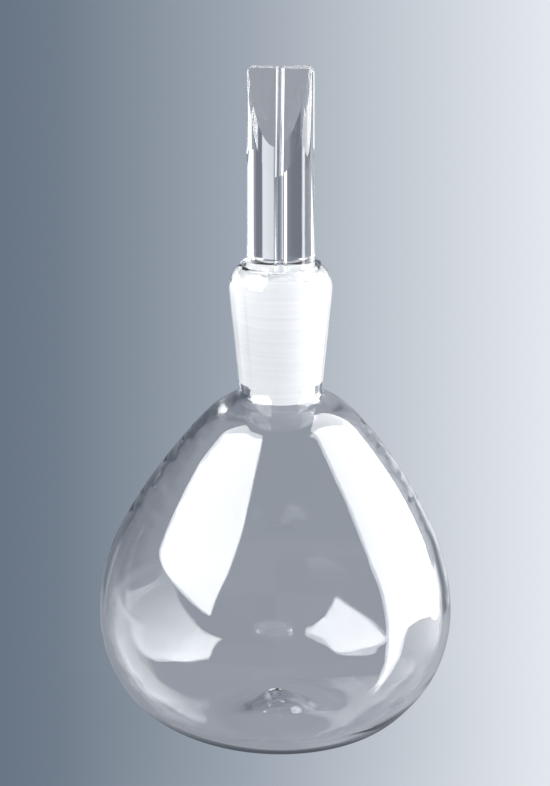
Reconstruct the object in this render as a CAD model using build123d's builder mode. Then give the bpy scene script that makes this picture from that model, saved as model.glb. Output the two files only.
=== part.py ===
from build123d import *
from math import atan, cos, degrees, radians, sin, tan
import os

# Density bottle (pycnometer) of about 50 ml with a capillary stopper.
# Two pieces of glass: the flask, with a ground taper socket in its neck, and the
# stopper, whose ground cone sits in that socket.
# Origin: centre of the foot ring, on the surface the bottle stands on. +Z is up
# and is the axis of both pieces. -Y is the front.

os.makedirs("parts", exist_ok=True)

# ---- bulb: outer surface, drawn upwards from the axis -------------------------
WALL = 1.0                 # even wall of the blown bulb
KICK_HEIGHT = 2.0          # rise of the underside at the axis
INNER_KICK_HEIGHT = 2.4    # rise of the bulb's floor at the axis, where the glass is thicker
FOOT_INNER_RADIUS = 7.4    # where the kick-up leaves the foot ring
FOOT_OUTER_RADIUS = 8.65   # where the base curve leaves the foot ring
BASE_RADIUS = 15.8         # base curve, a quarter circle from foot to belly
BELLY_RADIUS = 24.75       # curve just above the belly
BELLY_TURN = 27.8          # degrees from the vertical where it ends
FLANK_RADIUS = 69.6        # long, flat curve of the flank
FLANK_TURN = 15.2
SHOULDER_RADIUS = 13.2     # tight curve under the neck
SHOULDER_TURN = 24.3
ROOF_RADIUS = 7.0          # inner curve under the shoulder
ROOF_TURN = 24.0

# ---- neck and ground joint ----------------------------------------------------
THROAT_RADIUS = 0.9        # hollow between shoulder and neck
NECK_FLARE = 5.9           # degrees that the neck's outside opens upwards
NECK_LENGTH = 13.6         # straight stretch of the neck's outside
COLLAR_RADIUS = 4.0        # rounded collar at the top of the neck
COLLAR_TURN = 42.0
LIP_RADIUS = 1.5           # rounding from the collar to the rim
JOINT_TOP = 63.1           # height of the ground joint's wide end
JOINT_LENGTH = 19.0        # length of the ground zone
JOINT_RADIUS = 5.0         # radius of the stopper's cone at its wide end
TAPER = 0.05               # radius lost per unit of length, the 1:10 standard taper
JOINT_GAP = 0.02           # radial film between cone and socket
SOCKET_EDGE = 3.0          # rounding where the socket opens into the bulb
RIM_EDGE = 0.3             # rounding of the socket's mouth

# ---- stopper ------------------------------------------------------------------
SHANK_RADIUS = 4.75
STOPPER_TOP = 91.2         # height of the stopper's top above the foot
STOPPER_EDGE = 0.6         # fire-polished edge at the top
NECKING_LENGTH = 0.9       # short slope from the cone's wide end in to the shank
NECKING_EDGE = 1.5         # rounding at the foot of the shank
TIP_EDGE = 0.35            # rounding of the cone's tip
CAPILLARY_RADIUS = 0.62
FACET_LEAN = 13.25         # degrees that both oblique faces lean from the vertical
FRONT_FACET_LOW = 76.6     # height of the front face's lowest point
FRONT_FACET_TURN = -98.0   # direction it faces, degrees from +X
BACK_FACET_LOW = 79.0
BACK_FACET_TURN = 93.0

# ---- worked out ---------------------------------------------------------------
JOINT_BOTTOM = JOINT_TOP - JOINT_LENGTH
TIP_RADIUS = JOINT_RADIUS - TAPER * JOINT_LENGTH
BULB_TURN = BELLY_TURN + FLANK_TURN


def taper_radius(height):
    """Radius of the stopper's cone at a height, continued past both its ends."""
    return JOINT_RADIUS - TAPER * (JOINT_TOP - height)


def bulb_surface(inset, kick_height):
    """Draw one surface of the bulb, inset from the outside, and return its last arc."""
    kick_turn = 2 * degrees(atan(kick_height / FOOT_INNER_RADIUS))
    kick_radius = FOOT_INNER_RADIUS / (2 * sin(radians(kick_turn)))
    kick_top = JernArc((0, kick_height + inset), (1, 0), kick_radius, -kick_turn)
    kick_foot = JernArc(kick_top @ 1, kick_top % 1, kick_radius, kick_turn)
    foot = Line(kick_foot @ 1, kick_foot @ 1 + (FOOT_OUTER_RADIUS - FOOT_INNER_RADIUS, 0))
    base = JernArc(foot @ 1, foot % 1, BASE_RADIUS - inset, 90)
    belly = JernArc(base @ 1, base % 1, BELLY_RADIUS - inset, BELLY_TURN)
    return JernArc(belly @ 1, belly % 1, FLANK_RADIUS - inset, FLANK_TURN)


# ---- flask: solid outside, then the bulb's hollow and the socket taken out ------
with BuildPart() as flask:
    with BuildSketch(Plane.XZ):
        with BuildLine():
            flank = bulb_surface(0, KICK_HEIGHT)
            shoulder = JernArc(flank @ 1, flank % 1, SHOULDER_RADIUS, SHOULDER_TURN)
            throat_turn = BULB_TURN + SHOULDER_TURN + NECK_FLARE
            throat = JernArc(shoulder @ 1, shoulder % 1, THROAT_RADIUS, -throat_turn)
            neck = Line(throat @ 1, throat @ 1 + (throat % 1) * NECK_LENGTH)
            collar = JernArc(neck @ 1, neck % 1, COLLAR_RADIUS, NECK_FLARE + COLLAR_TURN)
            lip = JernArc(collar @ 1, collar % 1, LIP_RADIUS, 90 - COLLAR_TURN)
            rim_height = (lip @ 1).Y
            Polyline(lip @ 1, (0, rim_height), (0, KICK_HEIGHT))
        make_face()
    revolve(axis=Axis.Z)

    # hollow of the bulb; its roof runs on as a cone to a point on the axis, inside the bore
    with BuildSketch(Plane.XZ):
        with BuildLine():
            inner_flank = bulb_surface(WALL, INNER_KICK_HEIGHT)
            roof = JernArc(inner_flank @ 1, inner_flank % 1, ROOF_RADIUS, ROOF_TURN)
            roof_slope = tan(radians(90 - BULB_TURN - ROOF_TURN))
            roof_point = (0, (roof @ 1).Y + (roof @ 1).X * roof_slope)
            Polyline(roof @ 1, roof_point, (0, INNER_KICK_HEIGHT + WALL))
        make_face()
    revolve(axis=Axis.Z, mode=Mode.SUBTRACT)

    # ground socket, bored from above the rim down into the hollow
    with BuildSketch(Plane.XZ):
        bore_low = taper_radius(JOINT_BOTTOM) + JOINT_GAP
        bore_high = taper_radius(rim_height) + JOINT_GAP
        with BuildLine():
            Polyline(
                (0, JOINT_BOTTOM),
                (bore_low, JOINT_BOTTOM),
                (bore_high, rim_height),
                (0, rim_height),
                close=True,
            )
        make_face()
    revolve(axis=Axis.Z, mode=Mode.SUBTRACT)

    # both edges are picked on the -X side, away from the seams of the turned faces
    mouth = flask.edges().sort_by_distance((-bore_high, 0, rim_height))[0]
    outlet = flask.edges().sort_by_distance((-bore_low, 0, roof_point[1] - bore_low * roof_slope))[0]
    fillet(outlet, SOCKET_EDGE)
    fillet(mouth, RIM_EDGE)
flask.part.label = "flask"
export_step(flask.part, "parts/flask.step")


# ---- stopper: turned blank, capillary, two oblique faces ------------------------
def facet_plane(turn, low_point):
    """Plane of an oblique face that cuts the shank's side at low_point, normal outwards."""
    outward = Vector(cos(radians(turn)), sin(radians(turn)), 0)
    normal = outward + Vector(0, 0, tan(radians(FACET_LEAN)))
    return Plane(origin=outward * SHANK_RADIUS + Vector(0, 0, low_point), z_dir=normal)


with BuildPart() as stopper:
    with BuildSketch(Plane.XZ) as blank:
        shank_foot = JOINT_TOP + NECKING_LENGTH
        with BuildLine():
            cone = Line((TIP_RADIUS, JOINT_BOTTOM), (JOINT_RADIUS, JOINT_TOP))
            Polyline(
                cone @ 1,
                (SHANK_RADIUS, shank_foot),
                (SHANK_RADIUS, STOPPER_TOP),
                (0, STOPPER_TOP),
                (0, JOINT_BOTTOM),
                cone @ 0,
            )
        make_face()
        corners = blank.vertices()
        fillet(corners.sort_by_distance((SHANK_RADIUS, 0, STOPPER_TOP))[0], STOPPER_EDGE)
        fillet(corners.sort_by_distance((SHANK_RADIUS, 0, shank_foot))[0], NECKING_EDGE)
        fillet(corners.sort_by_distance((TIP_RADIUS, 0, JOINT_BOTTOM))[0], TIP_EDGE)
    revolve(axis=Axis.Z)
    split(bisect_by=facet_plane(FRONT_FACET_TURN, FRONT_FACET_LOW), keep=Keep.BOTTOM)
    split(bisect_by=facet_plane(BACK_FACET_TURN, BACK_FACET_LOW), keep=Keep.BOTTOM)
    with Locations((0, 0, STOPPER_TOP)):
        Hole(CAPILLARY_RADIUS)
stopper.part.label = "stopper"
export_step(stopper.part, "parts/stopper.step")
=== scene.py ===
import math

import bmesh
import bpy
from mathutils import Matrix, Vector, noise


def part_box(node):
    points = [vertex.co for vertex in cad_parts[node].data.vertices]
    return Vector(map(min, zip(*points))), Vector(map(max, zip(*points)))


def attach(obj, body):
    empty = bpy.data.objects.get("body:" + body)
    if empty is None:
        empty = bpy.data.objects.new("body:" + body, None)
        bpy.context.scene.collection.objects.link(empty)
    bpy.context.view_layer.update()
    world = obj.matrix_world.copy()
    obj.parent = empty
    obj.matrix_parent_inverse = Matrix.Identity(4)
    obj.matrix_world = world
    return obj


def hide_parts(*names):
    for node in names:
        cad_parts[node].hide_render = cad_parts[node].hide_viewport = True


# Looks of a blown density bottle with a capillary stopper: two pieces of clear
# glass with white ground surfaces where they meet. Lengths are in millimetres up
# to the point where a mesh is made, which turns them into metres.

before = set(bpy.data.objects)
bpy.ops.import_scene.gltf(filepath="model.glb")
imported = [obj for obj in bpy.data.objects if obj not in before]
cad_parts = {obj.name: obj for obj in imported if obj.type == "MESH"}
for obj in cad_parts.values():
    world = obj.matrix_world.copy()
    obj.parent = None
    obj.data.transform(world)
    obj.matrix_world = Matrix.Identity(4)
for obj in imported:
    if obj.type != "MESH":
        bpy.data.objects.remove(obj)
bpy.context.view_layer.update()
MM = 0.001
flask_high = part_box("flask")[1]
stopper_low, stopper_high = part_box("stopper")

# ---- sizes taken from the frame ------------------------------------------------
BELLY_X = flask_high.x / MM
TIP_HEIGHT = stopper_low.z / MM
TOP_HEIGHT = stopper_high.z / MM
JOINT_RADIUS = stopper_high.x / MM

# ---- sizes of the flask's section ------------------------------------------------
WALL = 1.0
KICK_HEIGHT, INNER_KICK_HEIGHT = 2.0, 2.4
FOOT_INNER_RADIUS = 7.4
FOOT_OUTER_RADIUS = 8.65
BASE_RADIUS = BELLY_X - FOOT_OUTER_RADIUS
BELLY_RADIUS, BELLY_TURN = 24.75, 27.8
FLANK_RADIUS, FLANK_TURN = 69.6, 15.2
SHOULDER_RADIUS, SHOULDER_TURN = 13.2, 24.3
ROOF_RADIUS, ROOF_TURN = 7.0, 24.0
THROAT_RADIUS = 0.9
NECK_FLARE, NECK_LENGTH = 5.9, 13.6
COLLAR_RADIUS, COLLAR_TURN = 4.0, 42.0
LIP_RADIUS = 1.5
RIM_EDGE = 0.3
SOCKET_EDGE = 3.0
GROUND_LOW, GROUND_HIGH = 47.2, 61.7    # where the socket's ground zone begins and ends

# ---- sizes of the ground joint and the stopper --------------------------------------
JOINT_LENGTH = 19.0
TAPER = 0.05
JOINT_GAP = 0.02
JOINT_TOP = TIP_HEIGHT + JOINT_LENGTH
SHANK_RADIUS = 4.75
NECKING_LENGTH = 0.9
CAPILLARY_RADIUS = 0.62
STOPPER_EDGE = 0.6
TIP_EDGE = 0.35
BORE_EDGE = 0.12
FACET_LEAN = 13.25
FACETS = ((-98.0, 76.6), (93.0, 79.0))   # direction each face looks in, height of its lowest point

SIDES = 256              # faces round each turned surface
CURVE_STEP = 0.45        # longest step along a curve of the outlines
FINE_STEP = 0.25         # the same inside the base, which carries small marks
EDGE_STEP = 0.2          # the same on the short flats beside the ground joint
CURVE_TURN = 9.0         # largest turn between two points of an arc, in degrees

# ---- unevenness of the blown glass -------------------------------------------------
BLOWN_SEED = Vector((3.7, 11.2, 5.9))
BULB_LEAN = -0.75                     # how far the bulb leans along X
OUTER_WAVE, INNER_WAVE = 0.03, 0.02   # slow waves of the two surfaces
SHOULDER_STREAKS = 0.10               # unevenness of the inner wall at the sides of the shoulder
COLLAR_RIPPLE = 0.11                  # ripple of the rounded collar
PONTIL_SWIRL, PONTIL_PIP = 0.22, 0.12  # raised marks in the middle of the bulb's floor
FLOOR_RING, FLOOR_WAVE = 0.10, 0.006  # a thin ridge and slow rings further out on it
# Where each shows: the heights over which it comes in, then those over which it dies away.
BULB_ZONE = ((0.0, 5.0), (46.0, 42.0))
LEAN_END = (46.0, 20.0)
SHOULDER_ZONE = ((26.0, 34.0), (44.5, 42.5))
COLLAR_START = (60.0, 61.5)
FLOOR_TOP = 6.0

CLEAR, GROUND = 0, 1     # material slots on both pieces


# ---- outlines: a pen that draws a section in the (radius, height) plane ----------------
class Pen:
    """Draws lines and tangent arcs and keeps the points, each with its material."""

    def __init__(self, radius, height, step=CURVE_STEP):
        self.at = Vector((radius, height))
        self.heading = 0.0
        self.step = step
        self.points = [(radius, height)]
        self.zones = []

    def go(self, point, zone):
        self.at = Vector(point)
        self.points.append((self.at.x, self.at.y))
        self.zones.append(zone)

    def line_to(self, radius, height, zone=CLEAR, step=None):
        """A straight stretch, cut into even steps; the heading follows it."""
        start, end = self.at.copy(), Vector((radius, height))
        count = max(1, math.ceil((end - start).length / (step or self.step)))
        self.heading = math.degrees(math.atan2(end.y - start.y, end.x - start.x))
        for i in range(1, count + 1):
            self.go(start.lerp(end, i / count), zone)

    def forward(self, length, zone=CLEAR):
        way = Vector((math.cos(math.radians(self.heading)), math.sin(math.radians(self.heading))))
        self.line_to(*(self.at + way * length), zone)

    def arc(self, radius, turn, zone=CLEAR):
        """A tangent arc; a positive turn, in degrees, goes to the left."""
        side = 1 if turn > 0 else -1
        start = math.radians(self.heading)
        centre = self.at + Vector((-math.sin(start), math.cos(start))) * radius * side
        sweep = math.radians(turn)
        count = max(3, math.ceil(abs(sweep) * radius / self.step), math.ceil(abs(turn) / CURVE_TURN))
        for i in range(1, count + 1):
            angle = start + sweep * i / count
            self.go(centre - Vector((-math.sin(angle), math.cos(angle))) * radius * side, zone)
        self.heading += turn


def bulb_surface(inset, kick_height, step):
    """One surface of the bulb, inset from the outside, from the axis to the end of the flank."""
    kick_turn = 2 * math.atan(kick_height / FOOT_INNER_RADIUS)
    kick_radius = FOOT_INNER_RADIUS / (2 * math.sin(kick_turn))
    pen = Pen(0, kick_height + inset, step)
    pen.arc(kick_radius, -math.degrees(kick_turn))
    pen.arc(kick_radius, math.degrees(kick_turn))
    pen.forward(FOOT_OUTER_RADIUS - FOOT_INNER_RADIUS)
    pen.arc(BASE_RADIUS - inset, 90)
    pen.step = CURVE_STEP
    pen.arc(BELLY_RADIUS - inset, BELLY_TURN)
    pen.arc(FLANK_RADIUS - inset, FLANK_TURN)
    return pen


def socket_radius(height):
    return JOINT_RADIUS + JOINT_GAP - TAPER * (JOINT_TOP - height)


def flask_outside():
    """The outer surface, from the axis under the base up to the rim."""
    pen = bulb_surface(0, KICK_HEIGHT, CURVE_STEP)
    pen.arc(SHOULDER_RADIUS, SHOULDER_TURN)
    pen.arc(THROAT_RADIUS, -(BELLY_TURN + FLANK_TURN + SHOULDER_TURN + NECK_FLARE))
    pen.forward(NECK_LENGTH)
    pen.arc(COLLAR_RADIUS, NECK_FLARE + COLLAR_TURN)
    pen.arc(LIP_RADIUS, 90 - COLLAR_TURN)
    return pen


def flask_inside():
    """The inner surface, from the axis over the base up into the socket's rounded outlet."""
    pen = bulb_surface(WALL, INNER_KICK_HEIGHT, FINE_STEP)
    pen.arc(ROOF_RADIUS, ROOF_TURN)
    roof_angle = math.radians(pen.heading)
    socket_angle = math.atan2(1, TAPER)
    way = Vector((math.cos(roof_angle), math.sin(roof_angle)))
    round_the_edge = Vector((
        math.sin(roof_angle) - math.sin(socket_angle),
        math.cos(socket_angle) - math.cos(roof_angle),
    )) * SOCKET_EDGE
    end = pen.at + round_the_edge
    pen.forward((socket_radius(end.y) - end.x) / (way.x - TAPER * way.y))
    pen.arc(SOCKET_EDGE, math.degrees(socket_angle - roof_angle))
    return pen


def flask_outline():
    """The whole closed section of the flask, walked from outside to inside."""
    outside, inside = flask_outside(), flask_inside()
    pen = outside
    rim = pen.at.y
    pen.line_to(socket_radius(rim) + RIM_EDGE, rim, step=EDGE_STEP)
    pen.arc(RIM_EDGE, 90 - math.degrees(math.atan(TAPER)))
    pen.line_to(socket_radius(GROUND_HIGH), GROUND_HIGH)
    pen.line_to(socket_radius(GROUND_LOW), GROUND_LOW, GROUND)
    pen.line_to(*inside.at)
    for point in reversed(inside.points[:-1]):
        pen.go(point, CLEAR)
    return pen


def stopper_outline():
    """The closed section of the stopper: the capillary's wall, the cone and the shank."""
    pen = Pen(CAPILLARY_RADIUS, TIP_HEIGHT)
    tip_radius = JOINT_RADIUS - TAPER * JOINT_LENGTH
    slope = math.degrees(math.atan(TAPER))
    pen.line_to(tip_radius - TIP_EDGE, TIP_HEIGHT, GROUND)
    pen.arc(TIP_EDGE, 90 - slope, GROUND)
    pen.line_to(JOINT_RADIUS, JOINT_TOP, GROUND)
    pen.line_to(SHANK_RADIUS, JOINT_TOP + NECKING_LENGTH, step=EDGE_STEP)
    pen.line_to(SHANK_RADIUS, TOP_HEIGHT - STOPPER_EDGE)
    pen.arc(STOPPER_EDGE, 90)
    pen.line_to(CAPILLARY_RADIUS + BORE_EDGE, TOP_HEIGHT)
    pen.line_to(CAPILLARY_RADIUS, TOP_HEIGHT - BORE_EDGE)
    pen.line_to(CAPILLARY_RADIUS, TIP_HEIGHT)
    return pen


# ---- meshes -------------------------------------------------------------------------
def turned_mesh(pen, shape=None):
    """A closed bmesh made by turning an outline; shape(point, index) may move each point."""
    mesh = bmesh.new()
    points = pen.points
    closed = (Vector(points[0]) - Vector(points[-1])).length < 1e-6
    if closed:
        points = points[:-1]
    rings = []
    for index, (radius, height) in enumerate(points):
        count = 1 if radius < 1e-6 else SIDES
        ring = []
        for side in range(count):
            angle = 2 * math.pi * side / SIDES
            point = Vector((radius * math.cos(angle), radius * math.sin(angle), height))
            if shape:
                point = shape(point, index)
            ring.append(mesh.verts.new(point * MM))
        rings.append(ring)
    last = len(points) if closed else len(points) - 1
    for index in range(last):
        low, high = rings[index], rings[(index + 1) % len(points)]
        for side in range(SIDES):
            corners = []
            for ring, step in ((low, 0), (low, 1), (high, 1), (high, 0)):
                vertex = ring[(side + step) % len(ring)]
                if vertex not in corners:
                    corners.append(vertex)
            if len(corners) > 2:
                face = mesh.faces.new(corners)
                face.smooth = True
                face.material_index = pen.zones[index]
    if mesh.calc_volume(signed=True) < 0:
        bmesh.ops.reverse_faces(mesh, faces=mesh.faces)
    return mesh


def finish_mesh(mesh, name, sharp_angle=180):
    """Turns a bmesh into a named object in the scene."""
    data = bpy.data.meshes.new(name)
    mesh.to_mesh(data)
    mesh.free()
    data.set_sharp_from_angle(angle=math.radians(sharp_angle))
    piece = bpy.data.objects.new(name, data)
    bpy.context.scene.collection.objects.link(piece)
    return piece


def smooth_step(low, high, value):
    t = min(1.0, max(0.0, (value - low) / (high - low)))
    return t * t * (3 - 2 * t)


def within(value, start, end):
    """1 in between, easing in over the start's two values and out over the end's."""
    return smooth_step(*start, value) * smooth_step(*end, value)


def bell(value, centre, width):
    return math.exp(-(((value - centre) / width) ** 2))


def base_marks(radius, angle):
    """Height of the small marks that blowing left inside the base."""
    turn = math.degrees(angle) % 360
    swirl_radius = 1.0 + 0.5 * turn / 360
    swirl_reach = within(turn, start=(10, 50), end=(280, 230))
    swirl = PONTIL_SWIRL * bell(radius, centre=swirl_radius, width=0.22) * swirl_reach
    pip = PONTIL_PIP * bell(radius, centre=0.0, width=0.35)
    ring = FLOOR_RING * bell(radius, centre=11.2, width=0.22) * bell(turn, centre=70, width=22)
    waves = FLOOR_WAVE * math.sin(radius * 4.4) * within(radius, start=(8, 11), end=(17, 14))
    return swirl + pip + ring + waves


def uneven(angle, height, turns, rise):
    """Seeded noise over a turned surface: turns sets how often it changes round it, rise up it."""
    spot = Vector((math.cos(angle) * turns, math.sin(angle) * turns, height * rise))
    return noise.noise(spot + BLOWN_SEED)


def blown_shape(outside_count):
    """Small unevenness of the blown flask; outside_count points of the outline are outside."""

    def shape(point, index):
        inside = index > outside_count
        free = within(point.z, *BULB_ZONE)
        lean = BULB_LEAN * free * smooth_step(*LEAN_END, point.z)
        radius = math.hypot(point.x, point.y)
        angle = math.atan2(point.y, point.x)
        if radius > 1e-6:
            outward = Vector((point.x / radius, point.y / radius, 0))
            wave = OUTER_WAVE * uneven(angle, point.z, turns=1.3, rise=0.11)
            if inside:
                wave += INNER_WAVE * uneven(angle, point.z * 0.5 + radius * 0.3, turns=1.1, rise=1.0)
            point = point + outward * wave * free
            if inside:
                shoulder = within(point.z, *SHOULDER_ZONE)
                at_sides = math.cos(angle) ** 6
                streaks = SHOULDER_STREAKS * uneven(angle, point.z, turns=3, rise=1.1)
                point = point + outward * streaks * shoulder * at_sides
            if index < outside_count:
                collar = smooth_step(*COLLAR_START, point.z)
                ripple = COLLAR_RIPPLE * uneven(angle, point.z, turns=7, rise=2.2)
                point = point + outward * ripple * collar
        if inside and point.z < FLOOR_TOP:
            point = point + Vector((0, 0, base_marks(radius, angle)))
        return point + Vector((lean, 0, 0))

    return shape


def make_flask():
    outside_count = len(flask_outside().points)
    mesh = turned_mesh(flask_outline(), blown_shape(outside_count))
    return finish_mesh(mesh, "blown_flask", sharp_angle=40)


def cut_facet(mesh, turn, low_point):
    """Cuts one oblique face and closes it with a flat polygon."""
    outward = Vector((math.cos(math.radians(turn)), math.sin(math.radians(turn)), 0))
    normal = outward + Vector((0, 0, math.tan(math.radians(FACET_LEAN))))
    origin = outward * SHANK_RADIUS + Vector((0, 0, low_point))
    everything = mesh.verts[:] + mesh.edges[:] + mesh.faces[:]
    cut = bmesh.ops.bisect_plane(
        mesh, geom=everything, plane_co=origin * MM, plane_no=normal.normalized(), clear_outer=True
    )
    edges = [item for item in cut["geom_cut"] if isinstance(item, bmesh.types.BMEdge)]
    filled = bmesh.ops.holes_fill(mesh, edges=edges)
    for face in filled["faces"]:
        face.smooth = True
        face.material_index = CLEAR


def make_stopper():
    mesh = turned_mesh(stopper_outline())
    for turn, low_point in FACETS:
        cut_facet(mesh, turn, low_point)
    bmesh.ops.recalc_face_normals(mesh, faces=mesh.faces)
    return finish_mesh(mesh, "ground_stopper", sharp_angle=12)


# ---- materials ------------------------------------------------------------------------
GLASS_IOR = 1.49
GLASS_TINT = (0.985, 0.992, 1.0, 1)
SHADOW_TINT = (0.985, 0.988, 0.99, 1)      # what clear glass lets through to a shadow
# Painted shade: a dark glow laid over the flask's glass round the foot, where the camera meets the underside
# edge on, in place of the dark shade beneath the bottle.
PAINTED_FOOT_SHADE_TONE = (0.09, 0.10, 0.12, 1)     # the line round the foot, where the glass is seen edge on
PAINTED_FOOT_SHADE_FACING = (0.73, 0.77)            # Layer Weight's Facing where the line starts, and is full
PAINTED_FOOT_SHADE_NORMAL = (-0.60, -0.84)          # the normal's upward part where the line starts, and is full
GROUND_TINT = (0.64, 0.655, 0.68, 1)
GROUND_SHADOW = (0.7, 0.7, 0.7, 1)
RING_NOISE = (0.3, 0.7)                    # low and high values of the grinding rings' noise
RING_ROUGHNESS, RING_TONE = (0.5, 0.75), (0.60, 0.74)   # of the ground surface at those two values
MATTE_SHARE = 0.5                          # how much of the ground surface is a plain matte white


class Nodes:
    """Short calls for building a node tree."""

    def __init__(self, tree):
        self.tree = tree
        tree.nodes.clear()

    def add(self, kind, **inputs):
        node = self.tree.nodes.new(kind)
        for name, value in inputs.items():
            self.feed(node, name.replace("_", " "), value)
        return node

    def feed(self, node, name, value):
        socket = node.inputs[name]
        if isinstance(value, bpy.types.NodeSocket):
            self.tree.links.new(value, socket)
        else:
            socket.default_value = value

    def split(self, vector):
        """The three parts of a vector."""
        return self.add("ShaderNodeSeparateXYZ", Vector=vector).outputs[:3]

    def math(self, operation, *values):
        node = self.tree.nodes.new("ShaderNodeMath")
        node.operation = operation
        for index, value in enumerate(values):
            self.feed(node, index, value)
        return node.outputs[0]

    def ramp(self, value, low, high, out_low, out_high):
        node = self.tree.nodes.new("ShaderNodeMapRange")
        names = ("Value", "From Min", "From Max", "To Min", "To Max")
        for name, number in zip(names, (value, low, high, out_low, out_high)):
            self.feed(node, name, number)
        return node.outputs["Result"]

    def blend(self, factor, first, second):
        """A mix of two colours."""
        node = self.tree.nodes.new("ShaderNodeMix")
        node.data_type = "RGBA"
        for index, value in ((0, factor), (6, first), (7, second)):
            self.feed(node, index, value)
        return node.outputs[2]

    def mix(self, factor, first, second):
        node = self.tree.nodes.new("ShaderNodeMixShader")
        self.feed(node, 0, factor)
        self.feed(node, 1, first)
        self.feed(node, 2, second)
        return node.outputs[0]


def new_material(name):
    material = bpy.data.materials.new(name)
    material.use_nodes = True
    return material, Nodes(material.node_tree)


def painted_foot_shade(nodes):
    """Mask of the painted shade round the foot: how far the rounded underside is met edge on by the camera's
    own rays.
    """
    facing = nodes.add("ShaderNodeLayerWeight", Blend=0.5).outputs["Facing"]
    edge_on = nodes.ramp(facing, *PAINTED_FOOT_SHADE_FACING, 0.0, 1.0)
    upwards = nodes.split(nodes.add("ShaderNodeNewGeometry").outputs["Normal"])[2]
    underside = nodes.ramp(upwards, *PAINTED_FOOT_SHADE_NORMAL, 0.0, 1.0)
    seen = nodes.add("ShaderNodeLightPath").outputs["Is Camera Ray"]
    return nodes.math("MULTIPLY", seen, nodes.math("MULTIPLY", edge_on, underside))


def clear_glass(name, waviness, paint_foot_shade):
    """Fire-polished glass: waves of the blown surface, and a painted shade, a dark line round the foot."""
    material, nodes = new_material(name)
    place = nodes.add("ShaderNodeTexCoord").outputs["Object"]
    waves = nodes.add("ShaderNodeTexNoise", Vector=place, Scale=90.0, Detail=2.0, Roughness=0.4)
    bump = nodes.add("ShaderNodeBump", Strength=waviness, Distance=0.0004, Height=waves.outputs[0])
    glass = nodes.add("ShaderNodeBsdfPrincipled", Base_Color=GLASS_TINT, Roughness=0.0, IOR=GLASS_IOR)
    nodes.feed(glass, "Transmission Weight", 1.0)
    nodes.feed(glass, "Normal", bump.outputs[0])
    through = nodes.add("ShaderNodeBsdfTransparent", Color=SHADOW_TINT)
    is_shadow = nodes.add("ShaderNodeLightPath").outputs["Is Shadow Ray"]
    body = glass.outputs[0]
    if paint_foot_shade:
        # painted shade: a dark glow over the glass round the foot, standing in for the shade beneath the
        # bottle
        dark = nodes.add("ShaderNodeEmission", Color=PAINTED_FOOT_SHADE_TONE, Strength=1.0)
        body = nodes.mix(painted_foot_shade(nodes), body, dark.outputs[0])
    nodes.add("ShaderNodeOutputMaterial", Surface=nodes.mix(is_shadow, body, through.outputs[0]))
    return material


def ground_glass(name):
    """White ground surface with the fine rings the grinding leaves."""
    material, nodes = new_material(name)
    place = nodes.add("ShaderNodeTexCoord").outputs["Object"]
    stretch = nodes.add("ShaderNodeMapping", Vector=place, Scale=(60.0, 60.0, 2600.0))
    rings = nodes.add("ShaderNodeTexNoise", Vector=stretch.outputs[0], Scale=1.0, Detail=3.0, Roughness=0.6)
    grain = nodes.add("ShaderNodeTexNoise", Vector=place, Scale=9000.0, Detail=2.0)
    height = nodes.math("ADD", rings.outputs[0], nodes.math("MULTIPLY", grain.outputs[0], 0.4))
    bump = nodes.add("ShaderNodeBump", Strength=0.5, Distance=0.00005, Height=height)
    roughness = nodes.ramp(rings.outputs[0], *RING_NOISE, *RING_ROUGHNESS)
    matte_tone = nodes.ramp(rings.outputs[0], *RING_NOISE, *RING_TONE)
    glass = nodes.add("ShaderNodeBsdfPrincipled", Base_Color=GROUND_TINT, Roughness=roughness, IOR=GLASS_IOR)
    nodes.feed(glass, "Transmission Weight", 0.3)
    nodes.feed(glass, "Normal", bump.outputs[0])
    tone = nodes.add("ShaderNodeCombineXYZ", X=matte_tone, Y=matte_tone, Z=matte_tone)
    matte = nodes.add("ShaderNodeBsdfTranslucent", Color=tone.outputs[0], Normal=bump.outputs[0])
    frosted = nodes.mix(MATTE_SHARE, glass.outputs[0], matte.outputs[0])
    through = nodes.add("ShaderNodeBsdfTransparent", Color=GROUND_SHADOW)
    is_shadow = nodes.add("ShaderNodeLightPath").outputs["Is Shadow Ray"]
    nodes.add("ShaderNodeOutputMaterial", Surface=nodes.mix(is_shadow, frosted, through.outputs[0]))
    return material


# ---- stage: floor, surroundings, lights and camera ---------------------------------------
CAMERA_DISTANCE = 336.0        # in front of the bottle's axis
CAMERA_HEIGHT = 135.5
CAMERA_SIDE = -0.8
VIEW_HEIGHT = 109.93           # height of the picture where the axis stands
VIEW_CENTRE = 45.6             # height in the middle of the picture
SENSOR = 36.0
FLOOR_SIZE, FLOOR_DEPTH = 8000.0, 0.02


def display(red, green, blue):
    """A colour as scene values, from its display values of 0 to 255."""
    return tuple((value / 255) ** 2.2 for value in (red, green, blue)) + (1,)


# Painted falloff of light, in the floor's colour and the backdrop: darker on the left, lighter on the right.
BACKDROP_PAINTED_FALLOFF = (              # tone across the picture, from its left edge to its right edge
    (0.00, display(105, 117, 133)),
    (0.11, display(113, 125, 139)),
    (0.45, display(157, 166, 178)),
    (1.00, display(227, 232, 238)),
)
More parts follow.
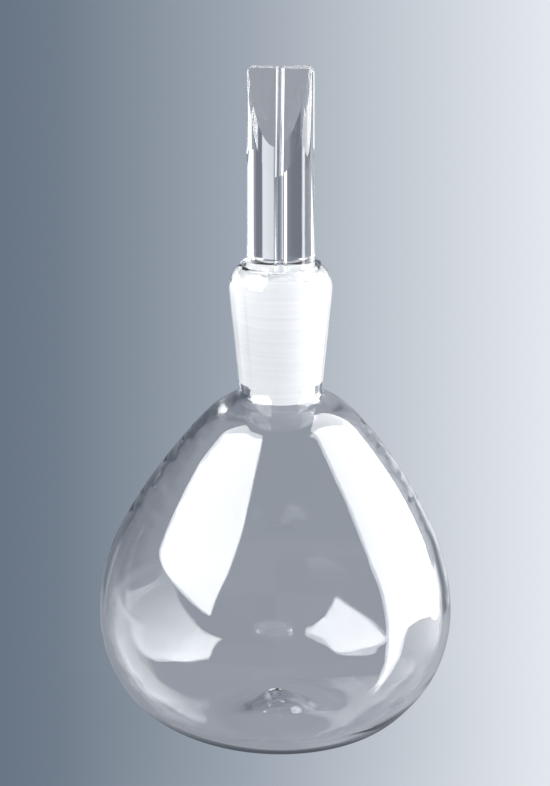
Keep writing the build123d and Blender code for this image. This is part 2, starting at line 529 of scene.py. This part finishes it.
# What the glass shows of the studio: three bands of height, each by the angle to the
# right of straight ahead. BELOW is the sweep the bottle stands on, LEVEL the far wall.
BELOW = (
    (-90, display(160, 164, 172)),
    (-40, display(156, 160, 168)),
    (-22, display(142, 147, 156)),
    (-8, display(150, 155, 163)),
    (7, display(152, 156, 165)),
    (14, display(170, 174, 182)),
    (32, display(174, 178, 186)),
    (90, display(160, 164, 172)),
)
LEVEL = (
    (-90, display(130, 135, 144)),
    (-62, display(130, 135, 144)),
    (-33, display(126, 131, 140)),
    (-31, display(184, 189, 197)),
    (-30, display(184, 189, 197)),
    (-28, display(108, 114, 124)),
    (-14, display(112, 118, 128)),
    (-8, display(125, 130, 140)),
    (-6, display(144, 149, 158)),
    (6.5, display(148, 153, 162)),
    (8.5, display(218, 222, 230)),
    (22, display(232, 235, 241)),
    (24, display(112, 118, 128)),
    (34, display(112, 118, 128)),
    (38, display(150, 154, 162)),
    (90, display(140, 145, 153)),
)
ABOVE = (
    (-90, display(90, 96, 106)),
    (-13, display(90, 96, 106)),
    (-6, display(106, 112, 122)),
    (-2, display(124, 129, 138)),
    (2, display(160, 164, 172)),
    (25, display(164, 168, 176)),
    (90, display(140, 145, 153)),
)
HORIZON, HIGHEST = (-7.0, -2.0), (22.0, 30.0)   # elevations, in degrees, where the bands meet
SWEEP = (-18.5, -17.0)
CEILING_TONE = display(128, 133, 142)
EVEN_LIGHT = (0.44, 0.44, 0.44, 1)        # what matte surfaces receive from all round

# Corners of the sheets, as (forward, up) in units of SIDE_DISTANCE from the belly's height
SIDE_DISTANCE = 1120.0
BELLY_HEIGHT = 16.8
SOFTBOX_LEFT = (
    (-1.07, 0.21), (0.18, 0.40), (0.41, 0.70), (0.28, 1.9),
    (-0.19, 2.13), (-0.84, 3.4), (-1.08, 2.8), (-1.38, 1.75),
)
SOFTBOX_RIGHT = (
    (-0.16, -1.1), (-0.10, -0.6), (0.0, -0.22), (0.02, -0.11), (0.6, -0.13), (0.88, -0.13),
    (0.88, -0.02), (0.95, 0.07), (1.02, 0.18), (1.10, 1.5), (0.9, 2.1), (-0.15, 2.0),
    (-0.25, 0.6), (-0.25, -0.35),
)
SOFTBOX_RIGHT_LOW = (
    (0.0, -0.24), (0.05, -0.18), (0.27, -0.19), (0.58, -0.27), (0.83, -0.36),
    (0.88, -0.36), (0.88, -0.12), (0.6, -0.12), (0.02, -0.10),
)
BOARD_RIGHT = (
    (-0.16, -1.4), (-0.10, -0.6), (0.0, -0.22), (0.02, -0.12),
    (0.6, -0.14), (1.15, -0.14), (1.15, -1.4),
)
BOARD_LEFT = ((0.05, -0.17), (0.75, -0.17), (0.75, -1.3), (0.05, -1.3))

# How a sheet fades for rays that cross the bulb to its far wall: along which axis, from and to
# where in metres, and the share of its glow at the lower end.
FAR_WALL_DEPTH = 4.5                # such rays have met the glass more often than this
FAR_LEFT = ((2, 0.66, 0.74, 0.0), (1, -1.06, -1.0, 0.0))
FAR_RIGHT = ((2, 0.0, 1.5, 0.2),)
SHEET_FOOT = (-0.9, -0.15)          # heights in metres between which a sheet fades to its foot

# Each sheet: its side and distance in units of SIDE_DISTANCE, its corners, its glow, the pieces
# it shows in, how it fades at the far wall, and the share of its glow at its foot.
SHEETS = {
    "softbox_left": (-1, SOFTBOX_LEFT, 9.0, "glass", FAR_LEFT, 1.0),
    "softbox_right": (1, SOFTBOX_RIGHT, 8.0, "glass", FAR_RIGHT, 1.0),
    "softbox_right_low": (1.01, SOFTBOX_RIGHT_LOW, 8.0, "flask", FAR_RIGHT, 1.0),
    "board_right_flask": (1.03, BOARD_RIGHT, 2.1, "flask", FAR_RIGHT, 0.1),
    "board_right_stopper": (1.02, BOARD_RIGHT, 1.1, "stopper", (), 1.0),
    "board_left_flask": (-1.03, BOARD_LEFT, 0.8, "flask", (), 1.0),
    "board_left_stopper": (-1.02, BOARD_LEFT, 1.2, "stopper", (), 1.0),
}


def tone_ramp(nodes, place, stops, span):
    """A colour ramp over a place value, with its stops given in that value's own units."""
    low, high = span
    factor = nodes.ramp(place, low, high, 0.0, 1.0)
    ramp_node = nodes.add("ShaderNodeValToRGB", Fac=factor)
    ramp = ramp_node.color_ramp
    while len(ramp.elements) > 1:
        ramp.elements.remove(ramp.elements[-1])
    ramp.elements[0].position = (stops[0][0] - low) / (high - low)
    ramp.elements[0].color = stops[0][1]
    for position, colour in stops[1:]:
        ramp.elements.new((position - low) / (high - low)).color = colour
    return ramp_node.outputs[0]


def backdrop_painted_falloff(nodes):
    """The pale backdrop's tone at a place across the picture, with a painted falloff of light: darker on the
    left, lighter on the right.
    """
    window = nodes.add("ShaderNodeTexCoord").outputs["Window"]
    return tone_ramp(nodes, nodes.split(window)[0], BACKDROP_PAINTED_FALLOFF, (0.0, 1.0))


def surroundings_tone(nodes):
    """The studio round the bottle by direction, measured from the camera's own heading."""
    way = nodes.add("ShaderNodeTexCoord").outputs["Generated"]
    turn = nodes.add("ShaderNodeVectorTransform", Vector=way)
    turn.vector_type = "VECTOR"
    turn.convert_from, turn.convert_to = "WORLD", "CAMERA"
    right, up, ahead = nodes.split(turn.outputs[0])
    azimuth = nodes.math("DEGREES", nodes.math("ARCTAN2", right, ahead))
    elevation = nodes.math("DEGREES", nodes.math("ARCSINE", up))
    bands = (BELOW, LEVEL, ABOVE)
    below, level, above = (tone_ramp(nodes, azimuth, band, (-90.0, 90.0)) for band in bands)
    tone = nodes.blend(nodes.ramp(elevation, *SWEEP, 0.0, 1.0), below, level)
    tone = nodes.blend(nodes.ramp(elevation, *HORIZON, 0.0, 1.0), tone, above)
    return nodes.blend(nodes.ramp(elevation, *HIGHEST, 0.0, 1.0), tone, CEILING_TONE)


def make_floor():
    """A large pale floor, with a painted falloff of light in its colour: darker on the left of the picture.
    It doesn't show in the glass.
    """
    mesh = bmesh.new()
    half, depth = FLOOR_SIZE / 2 * MM, FLOOR_DEPTH * MM
    signs = ((-1, -1), (1, -1), (1, 1), (-1, 1))
    mesh.faces.new([mesh.verts.new((x * half, y * half, -depth)) for x, y in signs])
    floor = finish_mesh(mesh, "floor")
    material, nodes = new_material("floor_pale")
    place = nodes.add("ShaderNodeTexCoord").outputs["Object"]
    grain = nodes.add("ShaderNodeTexNoise", Vector=place, Scale=400.0)
    bump = nodes.add("ShaderNodeBump", Strength=0.05, Distance=0.0002, Height=grain.outputs[0])
    matte = nodes.add("ShaderNodeBsdfDiffuse", Color=backdrop_painted_falloff(nodes), Normal=bump.outputs[0])
    nodes.add("ShaderNodeOutputMaterial", Surface=matte.outputs[0])
    floor.data.materials.append(material)
    floor.visible_glossy = False
    floor.visible_transmission = False
    return floor


def make_panel(name, corners, strength, receivers, far_side=(), foot_share=1.0):
    """A softbox: a flat sheet that glows, seen only in the glass pieces it is linked to.

    far_side fades it for rays that cross the bulb to its far wall, and foot_share is the
    share of its glow that is left near its foot. Behind the glow the sheet is clear, so it
    hides nothing from the pieces it isn't linked to.
    """
    mesh = bmesh.new()
    mesh.faces.new([mesh.verts.new(Vector(corner) * MM) for corner in corners])
    panel = finish_mesh(mesh, name)
    material, nodes = new_material(name)
    path = nodes.add("ShaderNodeLightPath").outputs
    place = nodes.split(nodes.add("ShaderNodeTexCoord").outputs["Object"])
    share = nodes.math("LESS_THAN", path["Diffuse Depth"], 0.5)
    far = nodes.math("GREATER_THAN", path["Ray Depth"], FAR_WALL_DEPTH)
    for axis, low, high, low_share in far_side:
        dimmed = nodes.ramp(place[axis], low, high, low_share, 1.0)
        share = nodes.math("MULTIPLY", share, nodes.ramp(far, 0.0, 1.0, 1.0, dimmed))
    share = nodes.math("MULTIPLY", share, nodes.ramp(place[2], *SHEET_FOOT, foot_share, 1.0))
    glow = nodes.add("ShaderNodeEmission", Strength=nodes.math("MULTIPLY", share, strength))
    clear = nodes.add("ShaderNodeBsdfTransparent", Color=(1, 1, 1, 1))
    both = nodes.add("ShaderNodeAddShader")
    nodes.feed(both, 0, glow.outputs[0])
    nodes.feed(both, 1, clear.outputs[0])
    nodes.add("ShaderNodeOutputMaterial", Surface=both.outputs[0])
    panel.data.materials.append(material)
    panel.visible_camera = False
    panel.light_linking.receiver_collection = receivers


def at_side(side, places):
    """Corners of a sheet at the side, from (forward, up) in units of SIDE_DISTANCE."""
    across = side * SIDE_DISTANCE
    return [(across, y * SIDE_DISTANCE, BELLY_HEIGHT + z * SIDE_DISTANCE) for y, z in places]


def make_lights(flask, stopper):
    """Softboxes and white boards at the sides for the glass, and soft light from above."""
    only = {}
    for name, pieces in (("flask", (flask,)), ("stopper", (stopper,)), ("glass", (flask, stopper))):
        only[name] = bpy.data.collections.new("lit_" + name)
        for piece in pieces:
            only[name].objects.link(piece)
    for name, (side, places, strength, receivers, far_side, foot_share) in SHEETS.items():
        make_panel(name, at_side(side, places), strength, only[receivers], far_side, foot_share)
    make_sun("overhead", spread=60, energy=1.75)
    make_sun("fill", spread=50, energy=4.3, turns=(65, 0, 50), receivers=only["glass"])


def make_sun(name, spread, energy, turns=(0, 0, 0), receivers=None):
    """A broad soft light that shades matte surfaces and doesn't show in the glass."""
    data = bpy.data.lights.new(name, "SUN")
    data.angle = math.radians(spread)
    data.energy = energy
    sun = bpy.data.objects.new(name, data)
    sun.rotation_euler = [math.radians(turn) for turn in turns]
    bpy.context.scene.collection.objects.link(sun)
    sun.visible_glossy = False
    sun.visible_transmission = False
    sun.visible_camera = False
    if receivers:
        sun.light_linking.receiver_collection = receivers


def make_world():
    """The studio: the backdrop to the camera, even light to matte surfaces, bands to the glass."""
    world = bpy.data.worlds.new("studio")
    bpy.context.scene.world = world
    world.use_nodes = True
    nodes = Nodes(world.node_tree)
    path = nodes.add("ShaderNodeLightPath")
    scattered = nodes.math("GREATER_THAN", path.outputs["Diffuse Depth"], 0.5)
    tone = nodes.blend(path.outputs["Is Camera Ray"], surroundings_tone(nodes), backdrop_painted_falloff(nodes))
    tone = nodes.blend(scattered, tone, EVEN_LIGHT)
    studio = nodes.add("ShaderNodeBackground", Color=tone, Strength=1.0)
    nodes.add("ShaderNodeOutputWorld", Surface=studio.outputs[0])


def make_camera():
    """A level camera with a lens shift, as on a view camera, so that uprights stay parallel.

    The shift is driven by the rotation mode: it applies to this view alone, and is
    nought once the camera is turned round the object, which sets a quaternion.
    """
    data = bpy.data.cameras.new("camera")
    camera = bpy.data.objects.new("camera", data)
    bpy.context.scene.collection.objects.link(camera)
    bpy.context.scene.camera = camera
    camera.location = Vector((CAMERA_SIDE, -CAMERA_DISTANCE, CAMERA_HEIGHT)) * MM
    camera.rotation_euler = (math.radians(90), 0, 0)
    data.sensor_width = SENSOR
    data.lens = SENSOR * CAMERA_DISTANCE / VIEW_HEIGHT
    data.clip_start, data.clip_end = 0.01, 20
    shift = (VIEW_CENTRE - CAMERA_HEIGHT) / VIEW_HEIGHT
    curve = data.driver_add("shift_y")
    curve.driver.type = "SUM"
    own_rotation = curve.driver.variables.new()
    own_rotation.type = "SINGLE_PROP"
    own_rotation.targets[0].id = camera
    own_rotation.targets[0].data_path = "rotation_mode"
    curve.modifiers[0].coefficients = (0, shift)


def main():
    flask = make_flask()
    stopper = make_stopper()
    for piece, body, waviness, paint_foot_shade in (
        (flask, "flask", 0.04, True),
        (stopper, "stopper", 0.004, False),
    ):
        slot = body + "_glass"
        piece.data.materials.append(clear_glass(slot + "_clear", waviness, paint_foot_shade))
        piece.data.materials.append(ground_glass(slot + "_ground"))
        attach(piece, body)
        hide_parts(body)
        piece.visible_diffuse = False
    make_floor()
    make_lights(flask, stopper)
    make_world()
    make_camera()
    scene = bpy.context.scene
    scene.view_settings.view_transform = "Standard"
    scene.cycles.max_bounces = 40
    scene.cycles.transmission_bounces = 32
    scene.cycles.transparent_max_bounces = 24
    scene.cycles.glossy_bounces = 20


main()
